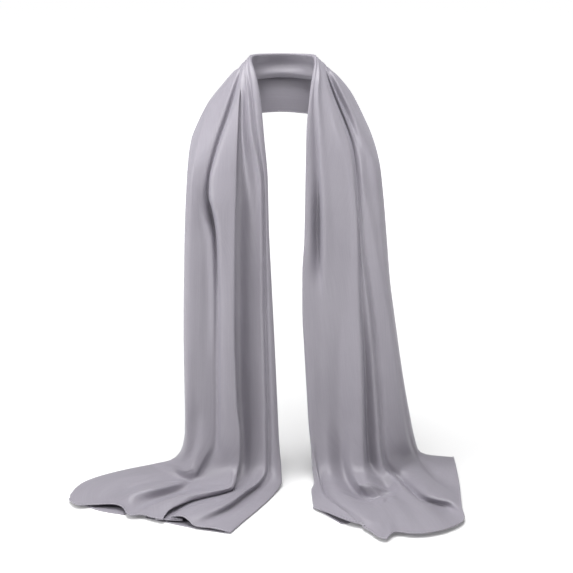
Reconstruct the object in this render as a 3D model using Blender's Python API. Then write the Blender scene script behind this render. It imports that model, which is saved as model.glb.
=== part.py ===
"""Evening stole, filled out as it is worn: a neck band, two falls and two trailing ends."""

import bpy
import numpy as np

# Main sizes, in millimetres
WALL = 1.2
SEAM_GAP = 0.3
FLOOR_Z = -730.0
LIE_Z = FLOOR_Z + WALL / 2
BED_Z = LIE_Z + 5.0
STEPS_PER_FOLD = 2
QUARTERS = np.linspace(0, 1, 5)
MM = 0.001

# Level lines from the left hem, over the back of the neck, to the right hem.
# Columns: level, inner end x y z, outer end x y z, rows up to the next level
LEVELS = (
    ("left hem", (-88, -302, BED_Z), (-374, -176, BED_Z), 4),
    ("left trail", (-42, -220, BED_Z), (-306, -92, BED_Z), 3),
    ("left instep", (-11, -164, BED_Z), (-244, -60, BED_Z), 3),
    ("left bend", (-2, -121, -709), (-204, -62, -709), 3),
    ("left ankle", (-3, -99, -668), (-180, -79, -668), 2),
    ("left knee", (-8, -92, -600), (-173, -86, -600), 3),
    ("left waist", (-17, -92, -400), (-170, -88, -400), 3),
    ("left bust", (-23, -90, -220), (-163, -84, -245), 2),
    ("left chest", (-30, -80, -124), (-160, -72, -190), 3),
    ("left collar", (-38, -60, -58), (-157, -48, -158), 2),
    ("left nape side", (-49, -32, -14), (-153, -20, -136), 3),
    ("left side", (-54, 4, 0), (-141, 16, -116), 3),
    ("left back", (-38, 47, 1), (-69, 66, -105), 3),
    ("back", (0, 62, 0), (0, 72, -99), 3),
    ("right back", (38, 47, 1), (69, 66, -105), 3),
    ("right side", (54, 4, 1), (142, 16, -114), 3),
    ("right nape side", (51, -32, -14), (153, -20, -136), 2),
    ("right collar", (45, -60, -60), (157, -48, -158), 3),
    ("right chest", (39, -80, -130), (165, -72, -186), 2),
    ("right bust", (38, -90, -230), (172, -84, -250), 3),
    ("right waist", (34, -92, -400), (186, -88, -400), 3),
    ("right knee", (43, -92, -600), (221, -86, -600), 2),
    ("right ankle", (48, -98, -668), (234, -78, -668), 3),
    ("right bend", (49, -116, -709), (247, -64, -709), 3),
    ("right instep", (50, -143, BED_Z), (288, -28, BED_Z), 3),
    ("right trail", (52, -176, BED_Z), (305, -2, BED_Z), 4),
    ("right hem", (55, -212, BED_Z), (317, 12, BED_Z), 0),
)
# Where the lines near the floor bow away from straight: x and y at a quarter, half
# and three quarters of the line
BOWS = {
    "left hem": ((-153, -280), (-228, -248), (-306, -224)),
    "left trail": ((-106, -212), (-172, -184), (-242, -146)),
    "left instep": ((-70, -166), (-128, -146), (-188, -108)),
    "left bend": ((-53, -122), (-103, -112), (-154, -90)),
    "right bend": ((99, -119), (150, -110), (200, -90)),
    "right instep": ((114, -164), (190, -150), (253, -102)),
    "right trail": ((130, -226), (228, -206), (276, -128)),
    "right hem": ((158, -320), (288, -294), (308, -140)),
}
# Folds over the back of the neck, both sides alike.
# Columns: fold, part of the way down the band at the back and at the side,
# distance out from the level line at the back and at the side
BAND_FOLDS = (
    ("neck edge", (1.02, 0.92), (-6, -8)),
    ("neck layer", (0.74, 0.68), (-6, -8)),
    ("neck layer top", (0.40, 0.44), (-5, -6)),
    ("flap root", (0.12, 0.21), (-6, -6)),
    ("flap root turn", (0.13, 0.18), (-11, -12.5)),
    ("flap turn", (0.40, 0.34), (-13, -15)),
    ("flap turn low", (0.41, 0.33), (-17.5, -19.5)),
    ("flap", (0.20, 0.15), (-18, -18)),
    ("rim", (0.00, 0.00), (-8, -4)),
    ("first ridge", (0.05, 0.08), (4, 4)),
    ("first crease", (0.17, 0.22), (6, 2)),
    ("second ridge", (0.26, 0.29), (9, 6)),
    ("second crease", (0.34, 0.36), (7, 3)),
    ("third ridge", (0.43, 0.42), (8, 7)),
    ("recess", (0.54, 0.47), (5, 4)),
    ("recess end", (0.61, 0.50), (8, 5)),
    ("lap edge", (0.48, 0.53), (13, 8)),
    ("main ridge", (0.56, 0.58), (16, 10)),
    ("main ridge side", (0.66, 0.64), (13, 8)),
    ("outer crease", (0.74, 0.70), (10, 4)),
    ("outer ridge", (0.80, 0.77), (12, 8)),
    ("outer valley", (0.88, 0.85), (9, 7)),
    ("outer band", (0.95, 0.93), (6, 6)),
    ("turn", (1.00, 1.00), (1, 1)),
    ("body edge side", (0.94, 0.94), (-1, -3)),
    ("body edge turn", (0.88, 0.88), (-1, -3.5)),
    ("body layer", (0.80, 0.80), (-0.5, -3)),
    ("body edge", (0.68, 0.72), (0, -2)),
)
# Folds of each fall, in the order of the table above.
# Columns: part of the way out along the level line, then distance out from it, each at
# collar, chest, waist, knee, bend, instep and hem
LEFT_FOLDS = (
    ((0.84, 0.74, 0.70, 0.68, 0.62, 0.58, 0.50), (-12, -18, -20, -22, -9, -5, -5)),
    ((0.62, 0.56, 0.53, 0.52, 0.50, 0.47, 0.40), (-12, -22, -36, -38, -9, -5, -5)),
    ((0.46, 0.42, 0.40, 0.39, 0.38, 0.35, 0.30), (-11, -16, -18, -18, -9, -5, -5)),
    ((0.30, 0.30, 0.30, 0.29, 0.28, 0.26, 0.22), (-12, -24, -40, -42, -9, -5, -5)),
    ((0.25, 0.25, 0.25, 0.24, 0.23, 0.21, 0.18), (-15, -26, -42, -44, -9, -5, -5)),
    ((0.20, 0.18, 0.18, 0.18, 0.17, 0.16, 0.13), (-20, -16, -14, -16, -9, -5, -5)),
    ((0.13, 0.12, 0.12, 0.12, 0.11, 0.10, 0.09), (-22, -17, -14, -16, -8, -5, -5)),
    ((0.07, 0.06, 0.05, 0.05, 0.05, 0.05, 0.04), (-16, -16, -20, -20, -7, -4.5, -5)),
    ((0.00, 0.00, 0.00, 0.00, 0.00, 0.00, 0.00), (-4, -4, -4, -4, -2, 0, 0)),
    ((0.09, 0.04, 0.04, 0.05, 0.05, 0.05, 0.04), (5, 7, 9, 10, 7, 6, 4)),
    ((0.21, 0.09, 0.09, 0.12, 0.12, 0.12, 0.12), (2, 2, 1, 0, 2, 4, 3)),
    ((0.27, 0.14, 0.15, 0.18, 0.18, 0.19, 0.20), (7, 8, 4, 3, 6, 7, 7)),
    ((0.34, 0.21, 0.24, 0.26, 0.25, 0.26, 0.27), (2, 3, 1, 0, 4, 5, 4)),
    ((0.40, 0.29, 0.32, 0.34, 0.32, 0.33, 0.34), (8, 9, 0, -2, 4, 5, 5)),
    ((0.44, 0.36, 0.44, 0.44, 0.41, 0.41, 0.41), (3, 3, -4, -5, 3, 3, 3)),
    ((0.465, 0.40, 0.49, 0.48, 0.455, 0.455, 0.455), (5, 5, 4, 4, 7, 6, 6)),
    ((0.49, 0.375, 0.43, 0.42, 0.41, 0.42, 0.435), (9, 12, 20, 22, 16, 13, 12)),
    ((0.54, 0.45, 0.49, 0.49, 0.48, 0.49, 0.50), (11, 17, 28, 28, 20, 16, 14)),
    ((0.59, 0.57, 0.61, 0.62, 0.60, 0.60, 0.60), (9, 14, 20, 20, 14, 10, 7)),
    ((0.63, 0.67, 0.67, 0.68, 0.68, 0.68, 0.68), (3, 2, 11, 12, 9, 6, 4)),
    ((0.74, 0.76, 0.76, 0.76, 0.76, 0.76, 0.76), (9, 12, 14, 14, 12, 9, 8)),
    ((0.84, 0.85, 0.85, 0.85, 0.85, 0.85, 0.85), (8, 9, 9, 9, 8, 6, 4)),
    ((0.93, 0.94, 0.94, 0.94, 0.94, 0.94, 0.94), (6, 7, 8, 8, 6, 6, 5)),
    ((1.00, 1.00, 1.00, 1.00, 1.00, 1.00, 0.99), (-2, -4, -5, -5, -2, 2, 2)),
    ((0.95, 0.95, 0.95, 0.95, 0.96, 0.97, 0.965), (-6, -12, -14, -14, -5, -1, -1)),
    ((0.89, 0.89, 0.89, 0.89, 0.88, 0.88, 0.88), (-6, -14, -20, -20, -5, -1, -1)),
    ((0.80, 0.78, 0.77, 0.77, 0.76, 0.76, 0.76), (-6, -10, -12, -12, -5, -1, -1)),
    ((0.72, 0.66, 0.62, 0.60, 0.62, 0.62, 0.62), (-4, -7, -6, -8, -4, -1, -1)),
)
RIGHT_FOLDS = (
    ((0.70, 0.62, 0.56, 0.52, 0.44, 0.34, 0.10), (-12, -18, -22, -24, -9, -5, -5)),
    ((0.56, 0.48, 0.44, 0.42, 0.36, 0.28, 0.08), (-12, -24, -44, -46, -9, -5, -5)),
    ((0.42, 0.36, 0.34, 0.33, 0.30, 0.23, 0.06), (-11, -15, -18, -18, -9, -5, -5)),
    ((0.28, 0.26, 0.25, 0.25, 0.24, 0.18, 0.045), (-12, -26, -46, -46, -9, -5, -5)),
    ((0.23, 0.21, 0.20, 0.20, 0.18, 0.14, 0.03), (-15, -28, -48, -48, -9, -5, -5)),
    ((0.19, 0.16, 0.14, 0.14, 0.12, 0.09, 0.015), (-20, -16, -14, -15, -9, -5, -5)),
    ((0.12, 0.12, 0.10, 0.10, 0.08, 0.05, 0.00), (-22, -17, -14, -15, -8, -5, -5)),
    ((0.06, 0.06, 0.04, 0.03, 0.03, 0.00, -0.012), (-16, -16, -20, -20, -7, -3, -2.5)),
    ((0.00, 0.00, 0.00, 0.00, 0.00, 0.00, 0.00), (-4, -4, -4, -4, -2, 0.5, 0.5)),
    ((0.05, 0.05, 0.05, 0.05, 0.06, 0.055, 0.05), (6, 7, 8, 8, 6, 5, 3)),
    ((0.09, 0.12, 0.12, 0.12, 0.13, 0.12, 0.09), (1, 1, 5, 7, 6, 4, 2)),
    ((0.15, 0.18, 0.20, 0.19, 0.20, 0.175, 0.13), (7, 11, 12, 11, 9, 6, 4)),
    ((0.24, 0.28, 0.30, 0.27, 0.27, 0.235, 0.17), (8, 13, 13, 8, 7, 5, 3)),
    ((0.33, 0.38, 0.38, 0.33, 0.31, 0.275, 0.21), (8, 13, 13, 3, 4, 4, 3)),
    ((0.43, 0.48, 0.48, 0.41, 0.38, 0.34, 0.26), (9, 13, 15, 10, 7, 6, 4)),
    ((0.49, 0.58, 0.58, 0.48, 0.44, 0.39, 0.30), (10, 14, 20, 20, 14, 10, 8)),
    ((0.53, 0.62, 0.65, 0.55, 0.50, 0.44, 0.33), (6, 8, 8, 6, 8, 6, 4)),
    ((0.56, 0.65, 0.70, 0.63, 0.58, 0.49, 0.36), (3, 3, 9, 12, 12, 9, 7)),
    ((0.59, 0.68, 0.745, 0.685, 0.66, 0.545, 0.39), (3, 1, 1, 1, 5, 4, 2)),
    ((0.66, 0.75, 0.80, 0.76, 0.75, 0.60, 0.43), (10, 12, 13, 12, 10, 7, 4)),
    ((0.76, 0.82, 0.86, 0.83, 0.82, 0.645, 0.46), (4, 9, 9, 9, 8, 5, 3)),
    ((0.86, 0.89, 0.91, 0.89, 0.89, 0.69, 0.49), (8, 11, 11, 11, 9, 6, 4)),
    ((0.94, 0.95, 0.96, 0.95, 0.95, 0.72, 0.515), (6, 7, 7, 8, 7, 6, 5)),
    ((1.00, 1.00, 1.00, 1.00, 0.99, 0.75, 0.55), (-2, -4, -5, -4, 1, 3, 2)),
    ((0.94, 0.95, 0.95, 0.96, 0.965, 0.715, 0.51), (-6, -12, -14, -12, -4, -0.5, -0.5)),
    ((0.89, 0.89, 0.91, 0.94, 0.985, 0.735, 0.525), (-6, -14, -20, -21, -7, -4.5, -5)),
    ((0.82, 0.80, 0.83, 0.91, 1.03, 0.86, 0.72), (-6, -10, -22, -30, -9, -5, -5)),
    ((0.74, 0.70, 0.72, 0.90, 1.08, 1.00, 1.00), (-5, -10, -26, -42, -10, -5, -5)),
)
PLACES = ("collar", "chest", "waist", "knee", "bend", "instep", "hem")
# Nodes: name, first and last level, colour
NODES = (
    ("left_trail", "left hem", "left ankle", (0.40, 0.38, 0.43, 1.0)),
    ("left_fall", "left ankle", "left side", (0.43, 0.41, 0.46, 1.0)),
    ("neck_band", "left side", "right side", (0.37, 0.35, 0.40, 1.0)),
    ("right_fall", "right side", "right ankle", (0.43, 0.41, 0.46, 1.0)),
    ("right_trail", "right ankle", "right hem", (0.40, 0.38, 0.43, 1.0)),
)


def clear_scene():
    for thing in list(bpy.data.objects):
        bpy.data.objects.remove(thing, do_unlink=True)


def slopes_of(places, values):
    """Slopes of a smooth line through the values that never runs past them."""
    run = np.diff(places).reshape(-1, *([1] * (values.ndim - 1)))
    steep = np.diff(values, axis=0) / run
    slopes = np.zeros_like(values)
    before, after = steep[:-1], steep[1:]
    same = before * after > 0
    weight_a = 2 * run[1:] + run[:-1]
    weight_b = run[1:] + 2 * run[:-1]
    safe_a = np.where(same, before, 1)
    safe_b = np.where(same, after, 1)
    mean = (weight_a + weight_b) / (weight_a / safe_a + weight_b / safe_b)
    slopes[1:-1] = np.where(same, mean, 0)
    slopes[0] = steep[0]
    slopes[-1] = steep[-1]
    return slopes


def smooth_between(places, values, wanted):
    """Values at the wanted places on a smooth line through the given ones."""
    slopes = slopes_of(places, values)
    spot = np.clip(np.searchsorted(places, wanted, side="right") - 1, 0, len(places) - 2)
    run = places[spot + 1] - places[spot]
    part = (wanted - places[spot]) / run
    shape = (-1, *([1] * (values.ndim - 1)))
    part = part.reshape(shape)
    run = run.reshape(shape)
    first = (1 + 2 * part) * (1 - part) ** 2 * values[spot]
    first += part * (1 - part) ** 2 * run * slopes[spot]
    second = part**2 * (3 - 2 * part) * values[spot + 1]
    second += part**2 * (part - 1) * run * slopes[spot + 1]
    return first + second


def place_names():
    return [level[0] for level in LEVELS]


def quarter_points(level):
    """Five points of a level line, from its inner to its outer end."""
    name, inner, outer, _ = level
    inner = np.array(inner, float)
    outer = np.array(outer, float)
    points = inner + QUARTERS[:, None] * (outer - inner)
    if name in BOWS:
        points[1:4, :2] = BOWS[name]
    return points


def side_columns(which):
    """Fold values of one side at each of its known levels: parts of the way, and distances out."""
    table = LEFT_FOLDS if which == "left" else RIGHT_FOLDS
    at_columns = {which + " side": [row[1][1] for row in BAND_FOLDS]}
    out_columns = {which + " side": [row[2][1] for row in BAND_FOLDS]}
    for n, place in enumerate(PLACES):
        at_columns[f"{which} {place}"] = [row[0][n] for row in table]
        out_columns[f"{which} {place}"] = [row[1][n] for row in table]
    return at_columns, out_columns


def fold_columns():
    """Fold values at every level that a table gives, for the back and both sides."""
    at_columns = {"back": [row[1][0] for row in BAND_FOLDS]}
    out_columns = {"back": [row[2][0] for row in BAND_FOLDS]}
    for which in ("left", "right"):
        more_at, more_out = side_columns(which)
        at_columns.update(more_at)
        out_columns.update(more_out)
    return at_columns, out_columns


def level_places(lines):
    """How far along the stole each level is, measured on the middle of its line."""
    middle = lines[:, 2]
    steps = np.linalg.norm(np.diff(middle, axis=0), axis=1)
    return np.concatenate([[0], np.cumsum(steps)])


def columns_at(columns, places, wanted):
    """Fold values on every wanted row, run smoothly between the known levels."""
    names = place_names()
    given = sorted(columns, key=names.index)
    where = np.array([places[names.index(name)] for name in given])
    values = np.array([columns[name] for name in given], float)
    return smooth_between(where, values, wanted)


def row_places(places):
    """Places of all rows, and the row number of each level."""
    rows, row_of = [], {}
    for n, level in enumerate(LEVELS):
        row_of[level[0]] = len(rows)
        rows.append(places[n])
        count = level[3]
        for step in range(1, count):
            rows.append(places[n] + (places[n + 1] - places[n]) * step / count)
    return np.array(rows), row_of


def unit(vectors):
    return vectors / np.linalg.norm(vectors, axis=-1, keepdims=True)


def fold_points(rows, places, lines):
    """A point of every fold on every row."""
    line = smooth_between(places, lines, rows)
    at_columns, out_columns = fold_columns()
    along = columns_at(at_columns, places, rows)
    out = columns_at(out_columns, places, rows)
    travel = unit(np.gradient(line[:, 2], rows, axis=0))
    across = unit(line[:, 4] - line[:, 0])
    outward = unit(np.cross(travel, across))
    points = np.empty((*along.shape, 3))
    for n in range(len(rows)):
        spot = np.clip(along[n], 0, 1)
        base = smooth_between(QUARTERS, line[n], spot)
        over = (along[n] - spot)[:, None] * (line[n, 4] - line[n, 0])
        points[n] = base + over + out[n][:, None] * outward[n]
    return points


def round_through(points, steps):
    """A rounded line through the fold points of every row, knots spaced by the root of distance."""
    first = 2 * points[:, :1] - points[:, 1:2]
    last = 2 * points[:, -1:] - points[:, -2:-1]
    p = np.concatenate([first, points, last], axis=1)
    gap = np.linalg.norm(np.diff(p, axis=1), axis=2, keepdims=True) ** 0.5
    made = []
    for n in range(points.shape[1] - 1):
        g0, g1, g2 = gap[:, n], gap[:, n + 1], gap[:, n + 2]
        p0, p1, p2, p3 = p[:, n], p[:, n + 1], p[:, n + 2], p[:, n + 3]
        lean1 = ((p1 - p0) / g0 - (p2 - p0) / (g0 + g1) + (p2 - p1) / g1) * g1
        lean2 = ((p2 - p1) / g1 - (p3 - p1) / (g1 + g2) + (p3 - p2) / g2) * g1
        for step in range(steps):
            t = step / steps
            h1 = 1 - 3 * t**2 + 2 * t**3
            h2 = 3 * t**2 - 2 * t**3
            k1 = t - 2 * t**2 + t**3
            k2 = t**3 - t**2
            made.append(h1 * p1 + h2 * p2 + k1 * lean1 + k2 * lean2)
    made.append(points[:, -1])
    return np.stack(made, axis=1)


def cloth_sheet(steps):
    """The whole stole as a grid of points on its middle surface, and the row of each level."""
    lines = np.array([quarter_points(level) for level in LEVELS])
    places = level_places(lines)
    rows, row_of = row_places(places)
    sheet = round_through(fold_points(rows, places, lines), steps)
    sheet[..., 2] = np.maximum(sheet[..., 2], LIE_Z)
    return sheet, row_of


def directions_of(sheet, axis):
    """Direction of the grid lines at every point, the mean of the steps to both sides."""
    steps = np.moveaxis(unit(np.diff(sheet, axis=axis)), axis, 0)
    both = np.concatenate([steps[:1], steps[:-1] + steps[1:], steps[-1:]])
    return unit(np.moveaxis(both, 0, axis))


def normals_of(sheet):
    return unit(np.cross(directions_of(sheet, 1), directions_of(sheet, 0)))


def split_cells(points, number):
    """Two triangles for each cell of the grid, cut along its shorter diagonal."""
    a, b = number[:-1, :-1], number[:-1, 1:]
    c, d = number[1:, 1:], number[1:, :-1]
    first = np.linalg.norm(points[1:, 1:] - points[:-1, :-1], axis=-1)
    second = np.linalg.norm(points[1:, :-1] - points[:-1, 1:], axis=-1)
    short = (first <= second)[..., None]
    by_first = np.stack([a, b, c, a, c, d], axis=-1)
    by_second = np.stack([a, b, d, b, c, d], axis=-1)
    return np.where(short, by_first, by_second).reshape(-1, 3)


def wall_mesh(name, points, normals):
    """A closed wall round a grid of points."""
    rows, columns = points.shape[:2]
    half = normals * WALL / 2
    faces_out = points + half
    faces_in = points - half
    both = np.concatenate([faces_out.reshape(-1, 3), faces_in.reshape(-1, 3)])
    both[:, 2] = np.maximum(both[:, 2], FLOOR_Z)
    number = np.arange(rows * columns).reshape(rows, columns)
    upper = split_cells(points, number)
    lower = upper[:, ::-1] + rows * columns
    edges = []
    for line in (number[0, ::-1], number[:, 0], number[-1], number[::-1, -1]):
        below = line + rows * columns
        pair = (line[:-1], line[1:], below[1:], line[:-1], below[1:], below[:-1])
        edges.append(np.stack(pair, axis=-1).reshape(-1, 3))
    faces = np.concatenate([upper, lower, *edges])
    mesh = bpy.data.meshes.new(name)
    mesh.from_pydata((both * MM).tolist(), [], faces.tolist())
    mesh.validate()
    mesh.update()
    return mesh


def satin(name, colour):
    material = bpy.data.materials.new(name)
    material.use_nodes = True
    shader = material.node_tree.nodes["Principled BSDF"]
    shader.inputs["Base Color"].default_value = colour
    shader.inputs["Roughness"].default_value = 0.45
    return material


def add_node(name, first, last, colour, sheet, normals):
    """One length of the stole, its cut ends drawn back by half the gap."""
    points = sheet[first : last + 1].copy()
    if first > 0:
        step = unit(sheet[first + 1] - sheet[first - 1])
        points[0] += step * SEAM_GAP / 2
    if last < len(sheet) - 1:
        step = unit(sheet[last + 1] - sheet[last - 1])
        points[-1] -= step * SEAM_GAP / 2
    mesh = wall_mesh(name, points, normals[first : last + 1])
    node = bpy.data.objects.new(name, mesh)
    node.data.materials.append(satin(name + "_satin", colour))
    bpy.context.scene.collection.objects.link(node)


def main():
    clear_scene()
    sheet, row_of = cloth_sheet(STEPS_PER_FOLD)
    normals = normals_of(sheet)
    for name, first, last, colour in NODES:
        add_node(name, row_of[first], row_of[last], colour, sheet, normals)


main()
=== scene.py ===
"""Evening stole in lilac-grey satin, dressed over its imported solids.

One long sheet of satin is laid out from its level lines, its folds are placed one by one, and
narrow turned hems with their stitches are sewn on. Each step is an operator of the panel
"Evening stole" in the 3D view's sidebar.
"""

import math

import bpy
import numpy as np
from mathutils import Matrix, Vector


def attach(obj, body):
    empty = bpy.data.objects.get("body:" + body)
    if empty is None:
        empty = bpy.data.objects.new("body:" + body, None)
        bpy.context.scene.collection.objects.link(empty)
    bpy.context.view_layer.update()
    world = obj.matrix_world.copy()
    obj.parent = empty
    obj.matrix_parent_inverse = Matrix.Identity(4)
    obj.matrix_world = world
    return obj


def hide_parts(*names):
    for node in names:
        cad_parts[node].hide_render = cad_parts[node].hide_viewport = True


bl_info = {
    "name": "Evening stole",
    "version": (1, 0, 0),
    "blender": (4, 5, 0),
    "location": "3D View > Sidebar > Stole",
    "description": "Lays out, folds, hems and lights a satin evening stole",
    "category": "Object",
}

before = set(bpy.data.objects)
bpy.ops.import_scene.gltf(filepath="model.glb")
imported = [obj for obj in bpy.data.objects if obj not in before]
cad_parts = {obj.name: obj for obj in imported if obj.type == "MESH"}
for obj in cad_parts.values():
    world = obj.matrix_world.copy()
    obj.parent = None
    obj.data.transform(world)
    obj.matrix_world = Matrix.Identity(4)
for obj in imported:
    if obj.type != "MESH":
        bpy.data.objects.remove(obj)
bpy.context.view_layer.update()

# The tables, and the functions that lay out the cloth, are in millimetres
MM = 0.001
FLOOR_Z = -730.0
# Height of the trailing ends' level lines, and the least heights of cloth and of thread
BED_Z = FLOOR_Z + 5.6
CLOTH_REST_Z = FLOOR_Z + 0.5
THREAD_REST_Z = FLOOR_Z + 0.05
# Width of the satin laid flat, in metres
SATIN_WIDTH = 0.5

# Where the viewer stands, how far the view tips down, and the size of the view: fold lines
# are placed on it, across from the left and down from the top
VIEWER = (6.7, -2050.0, 223.0)
TIP = math.radians(17)
VIEW_SIDE = 573
VIEW_REACH = 1210.0

# Level lines of the stole from the left hem, over the back of the neck, to the right hem.
# Columns: level, inner end x y z, outer end x y z, and how close the rows lie up to the
# next level
LEVELS = (
    ("left hem", (-88, -302, BED_Z), (-374, -176, BED_Z), 2.6),
    ("left trail", (-42, -220, BED_Z), (-306, -92, BED_Z), 2.6),
    ("left instep", (-11, -164, BED_Z), (-244, -60, BED_Z), 2.6),
    ("left bend", (-3, -124, -717), (-206, -66, -716), 2.6),
    ("left heel", (-2, -107, -698), (-189, -74, -699), 2.6),
    ("left ankle", (-3, -97, -662), (-179, -81, -662), 3.4),
    ("left knee", (-8, -92, -600), (-173, -86, -600), 4.2),
    ("left waist", (-17, -92, -400), (-170, -88, -400), 4.2),
    ("left bust", (-23, -90, -220), (-163, -84, -245), 3.6),
    ("left chest", (-30, -80, -124), (-160, -72, -190), 3.2),
    ("left collar", (-38, -60, -58), (-157, -48, -158), 3.0),
    ("left nape side", (-49, -32, -14), (-153, -20, -136), 3.0),
    ("left side", (-54, 4, 0), (-141, 16, -116), 3.4),
    ("left back", (-38, 47, 1), (-69, 66, -105), 3.4),
    ("back", (0, 62, 0), (0, 72, -99), 3.4),
    ("right back", (38, 47, 1), (69, 66, -105), 3.4),
    ("right side", (54, 4, 1), (142, 16, -114), 3.0),
    ("right nape side", (51, -32, -14), (153, -20, -136), 3.0),
    ("right collar", (45, -60, -60), (157, -48, -158), 3.2),
    ("right chest", (39, -80, -130), (165, -72, -186), 3.6),
    ("right bust", (38, -90, -230), (172, -84, -250), 4.2),
    ("right waist", (34, -92, -400), (186, -88, -400), 4.2),
    ("right knee", (43, -92, -600), (221, -78, -600), 3.4),
    ("right ankle", (48, -97, -662), (235, -64, -662), 2.6),
    ("right heel", (49, -105, -698), (242, -32, -698), 2.6),
    ("right bend", (50, -121, -718), (255, -14, -717), 2.6),
    ("right instep", (50, -143, BED_Z), (284, -12, BED_Z), 2.6),
    ("right trail", (52, -176, BED_Z), (301, -14, BED_Z), 2.6),
    ("right hem", (55, -212, BED_Z), (313, -16, BED_Z), 2.6),
)
# Parts of the way out of the five points of a level line, and the x and y of the three
# between its ends where the line bows
QUARTERS = np.linspace(0, 1, 5)
BOWS = {
    "left side": ((-81, 7), (-104, 10), (-125, 13)),
    "right side": ((84, 7), (109, 10), (127, 13)),
    "left ankle": ((-47, -98), (-91, -97), (-137, -98)),
    "left heel": ((-50, -107), (-98, -104), (-145, -104)),
    "left hem": ((-153, -280), (-228, -248), (-306, -224)),
    "left trail": ((-106, -212), (-172, -184), (-242, -146)),
    "left instep": ((-70, -166), (-128, -146), (-188, -108)),
    "left bend": ((-56, -124), (-107, -119), (-158, -113)),
    "right knee": ((88, -91), (132, -91), (178, -90)),
    "right ankle": ((95, -97), (142, -97), (192, -94)),
    "right heel": ((97, -107), (147, -105), (200, -96)),
    "right bend": ((101, -127), (156, -120), (214, -97)),
    "right instep": ((114, -164), (190, -150), (252, -102)),
    "right trail": ((130, -226), (228, -206), (276, -120)),
    "right hem": ((158, -318), (284, -288), (302, -136)),
}
# The stole's folds from the neck edge to the body edge, and where they lie over the back of
# the neck, both sides alike. Columns: fold, part of the way down the band at the back and at
# the side, distance out from the level line at the back and at the side, and columns of
# cloth up to the next fold
BAND_FOLDS = (
    ("neck edge", (0.99, 0.86), (-22, -14), 4),
    ("neck layer", (0.74, 0.66), (-19, -12), 4),
    ("neck layer top", (0.385, 0.43), (-4, -5), 4),
    ("flap root", (0.14, 0.19), (-0.5, -3), 3),
    ("flap root turn", (0.16, 0.18), (-3, -5.5), 5),
    ("flap turn", (0.405, 0.36), (-15, -14), 4),
    ("flap ridge", (0.325, 0.28), (-20, -19), 6),
    ("flap valley", (0.17, 0.13), (-7, -10), 6),
    ("inner edge", (0.00, 0.00), (-15, -3), 5),
    ("edge roll", (0.05, 0.012), (1, 1.5), 4),
    ("first crease", (0.11, 0.027), (2, 0.5), 4),
    ("first ridge", (0.17, 0.042), (6, 1.2), 5),
    ("second crease", (0.24, 0.056), (4, 0.5), 6),
    ("second ridge", (0.31, 0.07), (7, 1.2), 8),
    ("recess", (0.38, 0.083), (4, 0.8), 6),
    ("recess end", (0.43, 0.092), (5, 1), 6),
    ("lap edge", (0.42, 0.1), (8, 1.2), 6),
    ("main ridge", (0.48, 0.113), (9, 1.5), 8),
    ("main ridge side", (0.55, 0.126), (8, 1.4), 8),
    ("outer crease", (0.62, 0.145), (4, 0.5), 4),
    ("crease lip", (0.65, 0.17), (6, 1.6), 7),
    ("outer ridge", (0.72, 0.20), (8, 2), 8),
    ("outer valley", (0.80, 0.33), (6, 3), 9),
    ("outer band", (0.90, 0.62), (6, 4), 9),
    ("turn", (1.00, 1.00), (1, 1), 5),
    ("body edge side", (0.94, 0.94), (-1, -3), 4),
    ("body edge turn", (0.88, 0.88), (-1, -3.5), 4),
    ("body layer", (0.80, 0.80), (-0.5, -3), 4),
    ("body edge", (0.68, 0.72), (0, -2), 0),
)
FOLD_NAMES = [row[0] for row in BAND_FOLDS]
# The folds that show from the front
SHOWN = range(FOLD_NAMES.index("inner edge"), FOLD_NAMES.index("turn") + 1)
# Layers that are tucked behind. Columns: fold, part of the way out at each of these levels,
# and distance out at each of them
TUCK_LEVELS = ("collar", "chest", "waist", "knee", "bend", "instep", "hem")
LEFT_TUCKS = {
    "neck edge": ((0.84, 0.70, 0.585, 0.575, 0.58, 0.58, 0.50), (-12, -18, -20, -22, -9, -5, -5)),
    "neck layer": ((0.62, 0.56, 0.53, 0.52, 0.50, 0.47, 0.40), (-12, -22, -36, -38, -9, -5, -5)),
    "neck layer top": ((0.46, 0.42, 0.40, 0.39, 0.38, 0.35, 0.30), (-11, -16, -25, -25, -9, -5, -5)),
    "flap root": ((0.30, 0.30, 0.30, 0.29, 0.28, 0.26, 0.22), (-12, -24, -40, -42, -9, -5, -5)),
    "flap root turn": ((0.25, 0.25, 0.25, 0.24, 0.23, 0.21, 0.18), (-15, -26, -42, -44, -9, -5, -5)),
    "flap turn": ((0.20, 0.18, 0.18, 0.18, 0.17, 0.16, 0.13), (-20, -16, -14, -16, -9, -5, -5)),
    "flap ridge": ((0.13, 0.12, 0.12, 0.12, 0.11, 0.10, 0.09), (-22, -17, -14, -16, -8, -5, -5)),
    "flap valley": ((0.07, 0.06, 0.05, 0.05, 0.05, 0.05, 0.04), (-16, -16, -20, -20, -7, -4.5, -5)),
    "body edge side": ((0.95, 0.95, 0.95, 0.95, 0.96, 0.97, 0.955), (-6, -12, -14, -14, -5, -2, -1)),
    "body edge turn": ((0.89, 0.89, 0.89, 0.89, 0.88, 0.90, 0.91), (-6, -14, -20, -20, -5, -4, -3)),
    "body layer": ((0.80, 0.78, 0.77, 0.77, 0.76, 0.76, 0.76), (-6, -14, -22, -14, -5, -5, -5)),
    "body edge": ((0.72, 0.68, 0.645, 0.63, 0.62, 0.62, 0.62), (-5, -20, -28, -14, -4, -5, -5)),
}
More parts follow.
